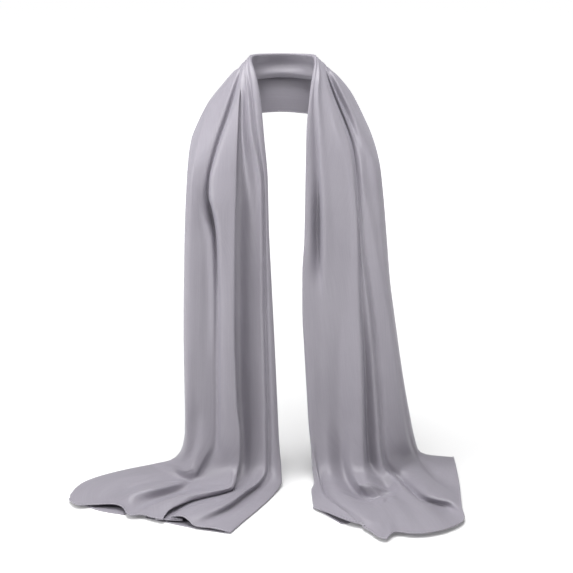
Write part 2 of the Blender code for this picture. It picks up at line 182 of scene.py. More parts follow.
RIGHT_TUCKS = {
    "neck edge": ((0.70, 0.62, 0.56, 0.52, 0.44, 0.34, 0.10), (-12, -18, -22, -24, -9, -5, -5)),
    "neck layer": ((0.56, 0.48, 0.44, 0.42, 0.36, 0.28, 0.08), (-12, -24, -44, -46, -9, -5, -5)),
    "neck layer top": ((0.42, 0.36, 0.34, 0.33, 0.30, 0.23, 0.06), (-11, -15, -18, -18, -9, -5, -5)),
    "flap root": ((0.28, 0.26, 0.25, 0.25, 0.24, 0.18, 0.045), (-12, -26, -46, -46, -9, -5, -5)),
    "flap root turn": ((0.23, 0.21, 0.20, 0.20, 0.18, 0.14, 0.03), (-15, -28, -48, -48, -9, -5, -5)),
    "flap turn": ((0.19, 0.16, 0.14, 0.14, 0.12, 0.09, 0.015), (-20, -24, -32, -22, -9, -5, -5)),
    "flap ridge": ((0.12, 0.12, 0.10, 0.10, 0.08, 0.05, 0.00), (-22, -23, -30, -20, -8, -5, -5)),
    "flap valley": ((0.06, 0.06, 0.04, 0.03, 0.03, 0.00, -0.012), (-16, -16, -20, -20, -7, -3, -2.5)),
    "body edge side": ((0.94, 0.95, 0.95, 0.96, 0.95, 0.93, 0.93), (-6, -12, -14, -12, -4, -2, -2)),
    "body edge turn": ((0.89, 0.89, 0.91, 0.93, 0.90, 0.86, 0.86), (-6, -14, -20, -21, -7, -5, -5)),
    "body layer": ((0.82, 0.80, 0.83, 0.90, 0.86, 0.78, 0.78), (-6, -10, -22, -30, -9, -5, -5)),
    "body edge": ((0.74, 0.70, 0.72, 0.88, 0.84, 0.70, 0.70), (-5, -10, -26, -42, -10, -5, -5)),
}
# Fold lines of the left side from the neck to the hem, as they are seen from the front.
# Columns: across and down on the view, distance out from the level line
LEFT_LINES = {
    "inner edge": (
        (250, 55, -3), (257, 80, -3), (261, 105, -3), (264, 135, -4), (268, 180, -4),
        (269, 225, -4), (272, 290, -4), (275, 350, -4), (277, 395, -4), (279, 440, -4),
        (281.5, 470, -3), (282, 483, -3), (277, 491, -3), (262, 506, -3), (243, 522, -3),
        (231, 532.5, -3),
    ),
    "first crease": (
        (249, 75, 1), (251, 90, 0), (254.5, 122, 0), (259, 153, 0), (263, 182, 0),
        (264.5, 240, -1), (265, 300, -1), (266, 350, -1), (267.5, 395, -1), (268, 440, -1),
        (268, 472, -2), (262, 484, -3), (247.5, 494.5, -2), (233, 506.5, -2), (217, 515.5, -1),
        (205, 522, 0), (195, 525.5, 1),
    ),
    "first ridge": (
        (247, 80, 6), (248.5, 100, 7), (252, 135, 7), (258, 162, 6), (261, 185, 6),
        (261.5, 240, 6), (262, 310, 6), (264, 370, 6), (265, 430, 7), (265.5, 470, 8),
        (259, 481.5, 10), (244, 492, 11), (230, 503, 10), (212, 512, 8), (199, 517, 7),
        (189, 520, 6),
    ),
    "second crease": (
        (245.5, 85, 1), (246, 120, 0), (249, 150, -2), (254, 170, -1), (257, 200, 1),
        (257, 300, 1), (258, 380, 1), (258, 440, 1), (257, 470, 1), (251, 482, 3),
        (238, 491, 5), (222, 501, 6), (206, 507, 6), (191, 512.2, 8), (182.5, 516, 9),
    ),
    "second ridge": (
        (242, 90, 6), (242, 130, 7), (246, 165, 6), (250, 195, 3), (251, 215, 0),
        (250, 250, -4), (250, 300, -5), (251, 380, -5), (252, 430, -4), (250, 472, -3),
        (244, 484, 1), (232, 491, 3), (216, 498, 5), (200, 504, 6), (184, 509.5, 8),
        (170.5, 516.8, 5),
    ),
    "recess": (
        (241.3, 90, 1), (240.6, 130, 1), (241, 165, 0), (241, 190, -3), (240, 220, -10),
        (239.5, 250, -14), (239.5, 330, -16), (240.5, 390, -16), (243, 425, -15),
        (244, 455, -12), (242, 476, -4), (235.5, 488.5, 1), (225, 494, 3), (209, 498.5, 3),
        (193, 503.5, 3), (186, 510, 2), (182.5, 520, 0.5),
    ),
    "lap edge": (
        (243, 75, 3), (239.6, 92, 5), (237.8, 130, 7), (236.6, 170, 9), (236, 195, 13),
        (235.2, 220, 18), (234.6, 270, 24), (234.3, 330, 25), (235.6, 370, 25),
        (237.5, 410, 25), (240.5, 436, 23), (240, 457, 20), (237, 474, 17), (233.5, 488, 11),
        (224, 491.5, 8), (210, 495, 7), (194, 499, 7), (178, 505.5, 8), (167, 511.5, 7),
        (163, 519, 4),
    ),
    "main ridge": (
        (242, 75, 3), (236.3, 108, 7), (231.5, 140, 9), (229.5, 170, 12), (229, 200, 17),
        (228, 300, 26), (229, 400, 26), (231, 430, 25), (233, 460, 21), (233, 482, 17),
        (231, 487.5, 13), (222, 490, 12), (208, 492.5, 12), (190, 496, 13), (172, 501.5, 13),
        (160, 507.5, 10), (152, 517, 3),
    ),
    "main ridge side": (
        (240.5, 80, 2), (236.8, 96, 4), (229, 118, 6), (222, 138, 8), (215.4, 160, 9),
        (210.6, 182, 11), (210.6, 196, 14), (213.4, 206, 18), (216.4, 216, 19),
        (218.6, 232, 20), (220, 260, 21), (221.5, 300, 22), (222, 400, 22), (222.5, 440, 20),
        (224.5, 458, 18), (227.5, 472, 16), (230, 483, 13), (220, 487, 11), (207, 489.5, 12),
        (190, 493, 13), (172, 498, 13), (157, 504, 10), (143, 514.5, 3),
    ),
    "outer crease": (
        (246.5, 60, 0), (242, 70, -0.5), (235, 90, -3), (227.5, 113, -4), (221, 132, -3),
        (214, 155, -3), (208.5, 180, -5), (207.8, 196, -9), (210.2, 207, -18), (213, 222, -18),
        (215.2, 238, -6), (216.2, 260, 2), (216.7, 300, 4), (217, 430, 4), (215.5, 446, 6),
        (209, 458, 5), (202, 470, 4), (196.5, 479, 2), (191, 485, 0), (178, 491, -3),
        (162, 496.5, -3), (147, 502, -2), (136, 508, 1), (129, 514.5, 3),
    ),
    "crease lip": (
        (244.5, 62, 1.5), (239, 71, 2.5), (232, 90, 4), (224.5, 113, 5), (218, 132, 5),
        (211, 155, 5), (205.5, 180, 5), (203.5, 195, 4), (204.5, 206, 3), (206.5, 220, 5),
        (211.5, 236, 8), (213, 260, 9), (213.5, 300, 7), (213.3, 330, 6), (213, 360, 5),
        (213, 420, 5), (211, 442, 8), (205.5, 455, 11), (199, 467, 12), (194.5, 476, 12),
        (192, 479.5, -3), (184, 483.5, 6), (168, 486.5, 12), (150, 490, 14), (134, 494.5, 13),
        (123, 507, 4),
    ),
    "outer ridge": (
        (241, 66, 5), (229, 86, 6), (219, 106, 6), (212, 126, 7), (205, 150, 8), (201, 175, 8),
        (198.5, 200, 8), (201, 222, 7), (206, 245, 7), (208, 300, 5), (207.5, 333, 5),
        (206, 358, 6), (205, 380, 7), (204, 420, 8), (202, 440, 10), (197, 456, 12),
        (192, 468, 13), (189.5, 477, 12), (187.5, 479.5, -2), (178, 481, 0), (162, 481, 2),
        (142, 484.5, 1), (126, 490, 1), (115, 504, 5),
    ),
    "outer valley": (
        (243, 63, 4), (227, 83, 7), (215, 103, 8), (206, 124, 8), (199, 146, 9),
        (195.5, 172, 10), (194, 200, 10), (198, 230, 9), (200, 260, 9), (199.5, 300, 9),
        (198, 350, 9), (197, 400, 9), (197, 430, 7), (193, 450, 8), (189, 463, 11),
        (183.5, 474, 11), (181, 476.8, -1), (170, 477.5, 1), (150, 478.5, 3), (130, 482.5, 5),
        (112, 489, 6), (100, 496, 4), (91, 504.5, 1),
    ),
    "outer band": (
        (245, 61, 4), (230, 79, 7), (216, 96, 8), (206, 115, 9), (198, 138, 9),
        (193.5, 165, 10), (191, 188, 10), (190, 215, 10), (189.5, 240, 10), (188, 290, 10),
        (187.5, 340, 10), (187.5, 430, 11), (186.5, 448, 12), (181, 459, 10), (176, 467, 9),
        (171, 471.5, 3), (157, 472.5, 4), (132, 475.5, 8), (108, 482, 9), (90, 489, 9),
        (80, 497, 7), (78, 504.5, 3),
    ),
    "turn": (
        (249, 55, 1), (245, 60, 1), (235, 72, 1), (220, 87, 1), (206, 105, 0), (196, 126, -1),
        (190, 146, -2), (187, 175, -3), (184.5, 235, -4), (183.5, 330, -4), (185, 430, -4),
        (182, 448, -3), (172, 459.5, -2), (155, 463.5, 0), (135, 467.5, 2), (115, 472, 4),
        (95, 477.5, 4), (79, 484.5, 4), (70.5, 492, 3), (69.5, 499, 1),
    ),
}
# Fold lines of the right side, in the same columns
RIGHT_LINES = {
    "inner edge": (
        (315, 60, -2), (312.5, 80, -1), (310, 100, 0), (307.2, 120, 0), (305.5, 180, 0),
        (304.5, 240, 0), (302.5, 275, -1), (302.5, 310, -2), (304.5, 350, -3), (307, 390, -3),
        (309.5, 430, -1), (312.5, 450, 2), (316, 468, 5), (319.5, 482, 7), (322.5, 493, 7),
        (334, 503, 7), (348, 513.5, 6), (358, 522, 4),
    ),
    "first crease": (
        (315.5, 78, 2), (313.5, 100, 0), (314, 115, -1), (315.8, 145, -3), (317.2, 175, -5),
        (317.8, 190, -9), (317.5, 205, -16), (317, 230, -22), (318, 255, -15), (318, 275, -4),
        (318.5, 290, 1), (319, 310, 2), (320, 350, 1), (321, 400, 0), (322, 440, 2),
        (323, 465, 3), (325, 482, 7), (331, 494, 8), (342, 505, 8), (354, 515, 6),
        (363, 526, 2),
    ),
    "first ridge": (
        (317.5, 80, 6), (317, 95, 7), (318.5, 115, 7), (320, 150, 7), (322, 185, 7),
        (323.5, 210, 8), (324, 235, 8), (323.5, 265, 7), (324, 285, 5), (326.5, 310, 4),
        (327, 350, 2), (327, 400, 0), (328, 440, 3), (329, 465, 7), (332, 480, 11),
        (341, 494, 12), (351, 505.5, 11), (362, 518, 8), (370, 530.5, 2),
    ),
    "second crease": (
        (320, 82, 3), (321.5, 100, 5), (325, 130, 7), (330, 170, 8), (333, 210, 8),
        (334, 250, 8), (333.5, 290, 7), (333, 320, 4), (333, 345, 2), (333, 370, 0),
        (334, 395, -1), (336, 420, -2), (339.5, 440, -4), (341.5, 460, -5), (345, 476, -5),
        (350.5, 486.5, -5), (357.5, 494.5, -5), (364, 499.5, -4), (373, 507, 9), (379, 520, 8),
        (380, 537, 2),
    ),
    "second ridge": (
        (322, 84, 4), (325, 100, 6), (333, 130, 9), (340, 170, 10), (343, 210, 10),
        (342.5, 250, 9), (341.5, 290, 8), (340, 320, 5), (339.5, 345, 2), (339.5, 370, 0),
        (340, 395, -1), (342, 420, -1), (345, 440, 1), (347, 460, 5), (350, 474, 8),
        (354.5, 484, 8), (360, 491.5, 5), (368, 497.8, -4), (379, 505, 10), (386, 518, 8),
        (386, 538.3, 2),
    ),
    "recess": (
        (323.5, 83, 5), (328, 100, 7), (337, 130, 11), (346, 170, 11), (350, 210, 11),
        (350.5, 250, 10.5), (348.5, 290, 9.5), (346.5, 320, 8), (345, 345, 6), (344.5, 380, 4),
        (346, 410, 4), (349, 440, 7), (351, 460, 12), (354, 474, 16), (358, 483.5, 18),
        (364.5, 491, 17), (372.5, 497.5, -4), (383, 503.5, 10), (389, 516, 8), (390, 534, 4),
    ),
    "recess end": (
        (324.5, 82, 5), (330, 100, 8), (340, 130, 11), (349, 170, 12), (353.5, 210, 12.5),
        (354.5, 250, 12.5), (353.5, 290, 12), (352.5, 320, 12), (352, 345, 11.5),
        (352.5, 380, 11), (354.5, 430, 12), (356.5, 460, 16), (359, 473, 18), (363.5, 483, 19),
        (370, 490.5, 19), (377, 496.8, -4), (387, 502, 10), (395, 515, 8), (396, 531.5, 3),
    ),
    "lap edge": (
        (325, 80, 4), (334, 103, 7), (344, 126, 10), (351, 150, 11), (354, 180, 12),
        (357, 225, 13), (358.5, 300, 14), (360.3, 330, 16), (361.6, 370, 18), (362.6, 420, 18),
        (363.5, 450, 18), (364.5, 466, 19), (367, 479, 20), (374.5, 489.5, 19),
        (382, 494.5, -4), (392, 500, 10), (405, 516, 8), (411, 533, 3),
    ),
    "main ridge": (
        (325, 79, 3), (334.6, 102, 5), (345, 126, 6), (352.2, 150, 6), (355.3, 175, 7),
        (358.7, 225, 8.5), (360.7, 270, 8), (362.3, 320, 6), (364, 350, 2), (365, 370, -1),
        (365.8, 395, -4), (367.3, 440, -7), (369.3, 463, -8), (374, 470, 0), (379, 477, 6),
        (388, 488, -3), (399, 496.5, 8), (414, 513, 7), (422, 533, 3),
    ),
    "main ridge side": (
        (325.8, 78.5, 3), (336, 102, 3), (346.4, 126, 3), (353.6, 150, 4), (356.2, 175, 6),
        (359.2, 215, 9), (361.5, 255, 11), (364.5, 280, 11), (367.3, 300, 11), (370.5, 335, 10),
        (372.7, 360, 9), (375.5, 400, 9), (378, 430, 9), (380.3, 455, 10), (384, 469.5, 11),
        (393, 476, 11), (400, 483.5, 11), (413, 496, 10), (428, 508, 8), (441, 523, 5),
        (446, 528.5, 3),
    ),
    "outer crease": (
        (317, 59, 0), (321, 66, -0.5), (327, 78, -3), (338, 106, -6), (347, 129, -5),
        (353, 149, -2), (356, 170, 2), (360, 212, 6), (363, 240, 7), (368.7, 280, 6),
        (374, 325, 5), (377.7, 368, 4), (380.3, 400, 3), (382.5, 440, 4), (385, 462, 3),
        (390, 470, 1), (398, 477, -1), (406, 485, -2), (414, 493, -2), (423, 500.5, -3),
        (436, 503.5, -3), (450, 507, -1), (463.5, 519.5, 2),
    ),
    "crease lip": (
        (319.5, 60, 1.5), (323.5, 66, 2.5), (329, 77, 4), (340, 104, 6), (349.5, 127, 6),
        (356, 147, 6), (359, 168, 7), (363, 212, 9), (366, 240, 9), (372, 280, 9),
        (377.5, 325, 9), (382, 368, 8), (385, 400, 8), (387.5, 440, 7), (390, 457, 6),
        (396, 466, 7), (404, 473, 7), (411, 480, 7), (418, 488, 9), (427, 496, 10),
        (438, 499.5, 10), (450, 502, 8), (461.5, 508, 5),
    ),
    "outer ridge": (
        (321, 62, 2), (327, 73, 0), (333, 85, -2), (339, 97, -2), (345, 109, -1), (351, 124, 2),
        (356, 139, 6), (360.5, 160, 10), (363, 190, 12), (368, 210, 12), (375.5, 250, 12),
        (383, 290, 12), (389, 320, 12), (395, 365, 12), (400, 400, 11), (404, 430, 10),
        (408, 447, 10), (414, 460, 9), (422, 470, 9), (430, 479, 9), (440, 486.5, 9),
        (460, 495, 5),
    ),
    "outer valley": (
        (323, 63, 4), (331, 76, 6), (338, 87, 8), (345, 99, 9), (352, 113, 10), (359, 133, 10),
        (366, 158, 9), (370, 190, 10), (375, 215, 10), (380, 250, 10), (386.5, 290, 10),
        (391.5, 320, 9), (398, 365, 9), (403.5, 400, 8), (408, 430, 7), (412.5, 447, 6),
        (417.5, 457, 4), (426, 467.5, 2), (435, 476.5, 1), (446, 482.5, 1), (459, 485, 3),
    ),
    "outer band": (
        (324, 64, 4), (334, 75, 5), (346, 91, 6), (357, 112, 7), (367, 138, 8), (374.5, 165, 9),
        (378, 190, 9), (380.5, 215, 8), (383.5, 250, 8), (389, 290, 7), (393, 320, 7),
        (400, 365, 7), (406, 400, 7), (411, 430, 6), (415, 447, 6), (421, 456, 6),
        (432, 461, 6), (443, 465, 6), (456, 469, 5),
    ),
    "turn": (
        (314, 55, 1), (321, 63, 1), (331, 74, 1), (343, 85, 1), (354, 100, 0), (364, 119, -1),
        (374, 141, -2), (380, 165, -3), (383, 190, -4), (387, 240, -4), (390, 280, -4),
        (394, 312, -4), (398.5, 345, -4), (402, 370, -4), (406, 395, -4), (410, 416, -3),
        (415, 440, -1), (419, 451, 1), (427, 454.5, 2), (440, 456, 3), (453, 457, 3),
    ),
}
# Folds that lie a part of the way between two others, or just beyond one.
# Columns: fold, from, to, part of the way, distance out on the falls and on the floor
LEFT_BETWEEN = (
    ("edge roll", "inner edge", "first crease", 0.5, 3, 1),
    ("recess end", "lap edge", "main ridge side", 0.4, 2, 1),
)
RIGHT_BETWEEN = (
    ("edge roll", "inner edge", "first crease", 0.45, 1, 3),
)
SIDES = {
    "left": (LEFT_LINES, LEFT_BETWEEN, LEFT_TUCKS),
    "right": (RIGHT_LINES, RIGHT_BETWEEN, RIGHT_TUCKS),
}
# How many rows the hem's waves reach up the cloth, and how many rows past the bend a fold
# between two others needs to settle on the floor
HEM_REACH = 16
SETTLE_REACH = 12.0
# Widths in rows of the bell curves that even out the level lines, the way along the stole,
# the folds round the neck and the folds behind. A bell curve ends after so many widths
BELL_REACH = 3
LINE_SOFTNESS = 3.5
TRAVEL_SOFTNESS = 2
NECK_SOFTNESS = 4
HIDDEN_SOFTNESS = 3
# The neck's softness fades in between the first two of these levels, and out between the
# last two
NECK_LEVELS = ("left chest", "left collar", "right collar", "right chest")
# Points of a fine fold line for each given one, and how far it runs on past the hem, as a
# part of its last step
FINENESS = 4
PAST_HEM = 0.8
# Parts of the way out at which a row is held against a fold line, from short of its inner
# end to past its outer end, and how often the row's distance out is corrected
LOOK = np.linspace(-0.12, 1.12, 63)
CORRECTIONS = 3
# The least distance by which two knots of a rounded line are spaced, and a number that
# stands in for nought where something is divided by it
KNOT_GAP = 0.05
NEAR_NOUGHT = 1e-9
# Flat sides of the hem's roll and of the sewing thread, and how much of a cord's way may go
# upward before its sides are taken from the X axis in place of the Z axis
HEM_SIDES = 8
THREAD_SIDES = 5
UPRIGHT = 0.9
# Each stitch runs round the hem from the first of these angles to the second, in degrees
# from the cloth, through so many points. It slants this far along the hem to each side of
# its middle, and its thread lies this far off the roll
STITCH_TURN = (35, 325)
STITCH_POINTS = 8
STITCH_SLANT = 0.9
STITCH_LIFT = 0.1

# Studio lights, in metres and watts, the point that they are turned to, and the strength of
# the even light. Columns: light, place, width, power
LIGHTS = (
    ("key", (-1.75, -0.85, 0.45), 0.8, 16.5),
    ("fill", (1.9, -0.8, 0.4), 1.2, 1.5),
    ("front", (0.0, -1.3, 1.0), 1.0, 6.2),
    ("top", (-0.2, -0.35, 2.3), 2.0, 97),
)
LIGHT_AIM = (0, -0.05, -0.4)
WORLD_LIGHT = 0.16
# Half the side of the floor in metres, and how strongly it glows between two distances from
# the stole
FLOOR_HALF = 24.0
GLOW_FROM = 0.6
GLOW_TO = 2.4
GLOW = 0.86
# Width of the camera's film, in millimetres
FILM_WIDTH = 36


def unit(vectors):
    """The same directions with a length of one."""
    return vectors / np.maximum(np.linalg.norm(vectors, axis=-1, keepdims=True), NEAR_NOUGHT)


def run_along(points):
    """How far along a line each of its points is."""
    steps = np.linalg.norm(np.diff(points, axis=0), axis=1)
    return np.concatenate([[0], np.cumsum(steps)])


def slopes_of(places, values):
    """Slopes of a smooth line through the values that never runs past them."""
    run = np.diff(places).reshape(-1, *([1] * (values.ndim - 1)))
    steep = np.diff(values, axis=0) / run
    slopes = np.zeros_like(values)
    before, after = steep[:-1], steep[1:]
    same = before * after > 0
    weight_a = 2 * run[1:] + run[:-1]
    weight_b = run[1:] + 2 * run[:-1]
    safe_a = np.where(same, before, 1)
    safe_b = np.where(same, after, 1)
    mean = (weight_a + weight_b) / (weight_a / safe_a + weight_b / safe_b)
    slopes[1:-1] = np.where(same, mean, 0)
    slopes[0] = steep[0]
    slopes[-1] = steep[-1]
    return slopes


def smooth_between(places, values, wanted):
    """Values at the wanted places on a smooth line through the given ones."""
    slopes = slopes_of(places, values)
    spot = np.clip(np.searchsorted(places, wanted, side="right") - 1, 0, len(places) - 2)
    run = places[spot + 1] - places[spot]
    part = (wanted - places[spot]) / run
    shape = (-1, *([1] * (values.ndim - 1)))
    part = part.reshape(shape)
    run = run.reshape(shape)
    first = (1 + 2 * part) * (1 - part) ** 2 * values[spot]
    first += part * (1 - part) ** 2 * run * slopes[spot]
    second = part**2 * (3 - 2 * part) * values[spot + 1]
    second += part**2 * (part - 1) * run * slopes[spot + 1]
    return first + second


def softened(values, width):
    """Values evened out along the rows by a bell curve so many rows wide."""
    reach = round(BELL_REACH * width)
    spots = np.arange(-reach, reach + 1)
    weights = np.exp(-0.5 * (spots / width) ** 2)
    weights /= weights.sum()
    padded = np.concatenate([values[:1].repeat(reach, 0), values, values[-1:].repeat(reach, 0)])
    return sum(w * padded[n : n + len(values)] for n, w in enumerate(weights))


def quarter_points(level):
    """Five points of a level line, from its inner to its outer end."""
    name, inner, outer, _ = level
    inner = np.array(inner, float)
    outer = np.array(outer, float)
    points = inner + QUARTERS[:, None] * (outer - inner)
    if name in BOWS:
        points[1:4, :2] = BOWS[name]
    return points


def row_places(places):
    """Places of all rows, and the row number of each level."""
    rows, row_of = [], {}
    for level, place, span in zip(LEVELS, places, np.diff(places)):
        row_of[level[0]] = len(rows)
        count = max(round(span / level[3]), 1)
        rows.extend(place + span * step / count for step in range(count))
    row_of[LEVELS[-1][0]] = len(rows)
    return np.array([*rows, places[-1]]), row_of


def line_point(line, part):
    """Points of one row's level line at parts of the way, run on straight past its ends."""
    spot = np.clip(part, 0, 1)
    base = smooth_between(QUARTERS, line, spot)
    return base + (part - spot)[:, None] * (line[4] - line[0])


def on_view(points):
    """Where points in millimetres are seen: across from the left and down from the top."""
    away = points - np.array(VIEWER)
    depth = away[..., 1] * math.cos(TIP) - away[..., 2] * math.sin(TIP)
    up = away[..., 1] * math.sin(TIP) + away[..., 2] * math.cos(TIP)
    across = VIEW_SIDE / 2 + VIEW_REACH * away[..., 0] / depth
    down = VIEW_SIDE / 2 - VIEW_REACH * up / depth
    return np.stack([across, down], axis=-1)


def on_floor(spot, level):
    """The point seen at a place on the view that lies at a height over the floor."""
    across = (spot[0] - VIEW_SIDE / 2) / VIEW_REACH
    up = (VIEW_SIDE / 2 - spot[1]) / VIEW_REACH
    forward = math.cos(TIP) + up * math.sin(TIP)
    rise = up * math.cos(TIP) - math.sin(TIP)
    depth = (level - VIEWER[2]) / rise
    return np.array([VIEWER[0] + across * depth, VIEWER[1] + forward * depth, level])


def fine_line(points):
    """A fold line run smoothly through its given points, and on past the hem."""
    points = np.array(points, float)
    past = points[-1] + PAST_HEM * (points[-1] - points[-2])
    past[2] = points[-1, 2]
    points = np.concatenate([points, [past]])
    along = run_along(points[:, :2])
    return smooth_between(along, points, np.linspace(0, along[-1], FINENESS * len(points)))


def meetings(path, line):
    """Where a path on the view meets a fold line: parts of the path and of the line."""
    a, b = path[:-1, None], np.diff(path, axis=0)[:, None]
    c, d = line[None, :-1, :2], np.diff(line[:, :2], axis=0)[None]
    turn = b[..., 0] * d[..., 1] - b[..., 1] * d[..., 0]
    turn = np.where(np.abs(turn) < NEAR_NOUGHT, NEAR_NOUGHT, turn)
    gap = c - a
    on_path = (gap[..., 0] * d[..., 1] - gap[..., 1] * d[..., 0]) / turn
    on_line = (gap[..., 0] * b[..., 1] - gap[..., 1] * b[..., 0]) / turn
    hit = (on_path >= 0) & (on_path < 1) & (on_line >= 0) & (on_line < 1)
    first, second = np.nonzero(hit)
    return first + on_path[hit], second + on_line[hit]


def fold_on_row(line, outward, fold_line, last):
    """Part of the way out and distance out where a row meets a fold line, or none."""
    out = 0.0
    found = None
    base = line_point(line, LOOK)
    for _ in range(CORRECTIONS):
        path = on_view(base + out * outward)
        on_path, on_line = meetings(path, fold_line)
        if not len(on_path):
            return found
        best = np.argmin(np.abs(on_line - last))
        spot = on_path[best]
        whole = int(spot)
        part = LOOK[whole] + (spot - whole) * (LOOK[1] - LOOK[0])
        along = on_line[best]
        whole = int(along)
        below = fold_line[min(whole + 1, len(fold_line) - 1), 2]
        out = fold_line[whole, 2] + (along - whole) * (below - fold_line[whole, 2])
        found = (part, out, along)
    return found


def follow_line(numbers, lines, outward, points):
    """A fold's part of the way and distance out on the rows that its line crosses."""
    fold_line = fine_line(points)
    last = float(len(fold_line))
    found = {}
    for n in numbers:
        met = fold_on_row(lines[n], outward[n], fold_line, last)
        if met:
            found[n] = met[:2]
            last = met[2]
    return found


def tuck_rows(side, row_of, table):
    """A tucked fold's part of the way and distance out at the levels that are given."""
    rows = [row_of[f"{side} {level}"] for level in TUCK_LEVELS]
    return dict(zip(rows, zip(*table)))


def band_rows(fold, row_of):
    """A fold's part of the way and distance out at the back and the sides of the neck."""
    _, parts, outs, _ = BAND_FOLDS[fold]
    at_back, at_side = zip(parts, outs)
    return {row_of["back"]: at_back, row_of["left side"]: at_side, row_of["right side"]: at_side}


def between_rows(given, found, down, bend):
    """A fold set between two others, on the rows that both of them cross."""
    _, start, end, share, fall_out, floor_out = given
    made = {}
    for n in sorted(set(found[start]) & set(found[end])):
        first, second = found[start][n][0], found[end][n][0]
        low = np.clip(down * (n - bend) / SETTLE_REACH, 0, 1)
        made[n] = (first + share * (second - first), fall_out + (floor_out - fall_out) * low)
    return made


def filled(found, count):
    """Values on every row, run smoothly between the rows where they are known."""
    rows = np.array(sorted(found), float)
    values = np.array([found[n] for n in sorted(found)], float)
    return smooth_between(rows, values, np.arange(count, dtype=float))


def side_folds(side, lines, outward, row_of):
    """Every fold of one side on the rows where it is known."""
    fold_lines, between, tucks = SIDES[side]
    hem, bend, neck = (row_of[f"{side} {level}"] for level in ("hem", "bend", "side"))
    down = -1 if hem < neck else 1
    found = {}
    for name, points in fold_lines.items():
        found[name] = follow_line(range(hem, neck, -down), lines, outward, points)
    for given in between:
        found[given[0]] = between_rows(given, found, down, bend)
    for name, table in tucks.items():
        found[name] = tuck_rows(side, row_of, table)
    return found


def fold_points(rows, places, row_of, level_lines):
    """A point of every fold on every row."""
    lines = softened(smooth_between(places, level_lines, rows), LINE_SOFTNESS)
    travel = unit(softened(np.gradient(lines[:, 2], rows, axis=0), TRAVEL_SOFTNESS))
    across = unit(lines[:, 4] - lines[:, 0])
    outward = unit(np.cross(travel, across))
    left = side_folds("left", lines, outward, row_of)
    right = side_folds("right", lines, outward, row_of)
    points = np.empty((len(rows), len(FOLD_NAMES), 3))
    neck_rows = [row_of[level] for level in NECK_LEVELS]
    neck = np.interp(np.arange(len(rows)), neck_rows, (0, 1, 1, 0))[:, None]
    for fold, name in enumerate(FOLD_NAMES):
        values = filled({**left[name], **right[name], **band_rows(fold, row_of)}, len(rows))
        elsewhere = values if fold in SHOWN else softened(values, HIDDEN_SOFTNESS)
        values = neck * softened(values, NECK_SOFTNESS) + (1 - neck) * elsewhere
        for n in range(len(rows)):
            base = line_point(lines[n], values[n : n + 1, 0])[0]
            points[n, fold] = base + values[n, 1] * outward[n]
    hem_waves(points, LEFT_LINES, LEFT_BETWEEN)
    hem_waves(points[::-1], RIGHT_LINES, RIGHT_BETWEEN)
    return points


def hem_waves(points, fold_lines, between):
    """Draws the hem end of every shown fold to the last point of its line."""
    number = FOLD_NAMES.index
    moves = np.zeros((len(FOLD_NAMES), 3))
    for name, line in fold_lines.items():
        end = on_floor(line[-1][:2], BED_Z + line[-1][2])
        moves[number(name)] = end - points[0, number(name)]
    for name, first, second, *_ in between:
        moves[number(name)] = (moves[number(first)] + moves[number(second)]) / 2
    for n in range(HEM_REACH):
        share = 1 - n / HEM_REACH
        points[n] += moves * share * share * (3 - 2 * share)


def round_through(points, steps):
    """A rounded line through the fold points of every row.

    Its knots are spaced by the roots of the distances between them.
    """
    first = 2 * points[:, :1] - points[:, 1:2]
    last = 2 * points[:, -1:] - points[:, -2:-1]
    p = np.concatenate([first, points, last], axis=1)
    apart = np.linalg.norm(np.diff(p, axis=1), axis=2, keepdims=True)
    gap = np.maximum(apart, KNOT_GAP) ** 0.5
    made = []
    for n in range(points.shape[1] - 1):
        g0, g1, g2 = gap[:, n], gap[:, n + 1], gap[:, n + 2]
        p0, p1, p2, p3 = p[:, n], p[:, n + 1], p[:, n + 2], p[:, n + 3]
        lean1 = ((p1 - p0) / g0 - (p2 - p0) / (g0 + g1) + (p2 - p1) / g1) * g1
        lean2 = ((p2 - p1) / g1 - (p3 - p1) / (g1 + g2) + (p3 - p2) / g2) * g1
        for step in range(steps[n]):
            t = step / steps[n]
            h1 = 1 - 3 * t**2 + 2 * t**3
            h2 = 3 * t**2 - 2 * t**3
            k1 = t - 2 * t**2 + t**3
            k2 = t**3 - t**2
            made.append(h1 * p1 + h2 * p2 + k1 * lean1 + k2 * lean2)
    made.append(points[:, -1])
    return np.stack(made, axis=1)


def cloth_grid():
    """The whole stole as a grid of points, rows from the left hem to the right hem."""
    level_lines = np.array([quarter_points(level) for level in LEVELS])
    places = run_along(level_lines[:, 2])
    rows, row_of = row_places(places)
    steps = [row[3] for row in BAND_FOLDS]
    grid = round_through(fold_points(rows, places, row_of, level_lines), steps)
    grid[..., 2] = np.maximum(grid[..., 2], CLOTH_REST_Z)
    return grid


def cloth_lengths(grid):
    """Cloth coordinates in metres: across from the neck edge, and along from the left hem."""
    across = np.linalg.norm(np.diff(grid, axis=1), axis=2)
    across = np.concatenate([np.zeros((len(grid), 1)), np.cumsum(across, axis=1)], axis=1)
    across = across / across[:, -1:] * SATIN_WIDTH
    along = np.linalg.norm(np.diff(grid, axis=0), axis=2).mean(axis=1)
    along = np.concatenate([[0], np.cumsum(along)]) * MM
    return across, np.repeat(along[:, None], grid.shape[1], axis=1)


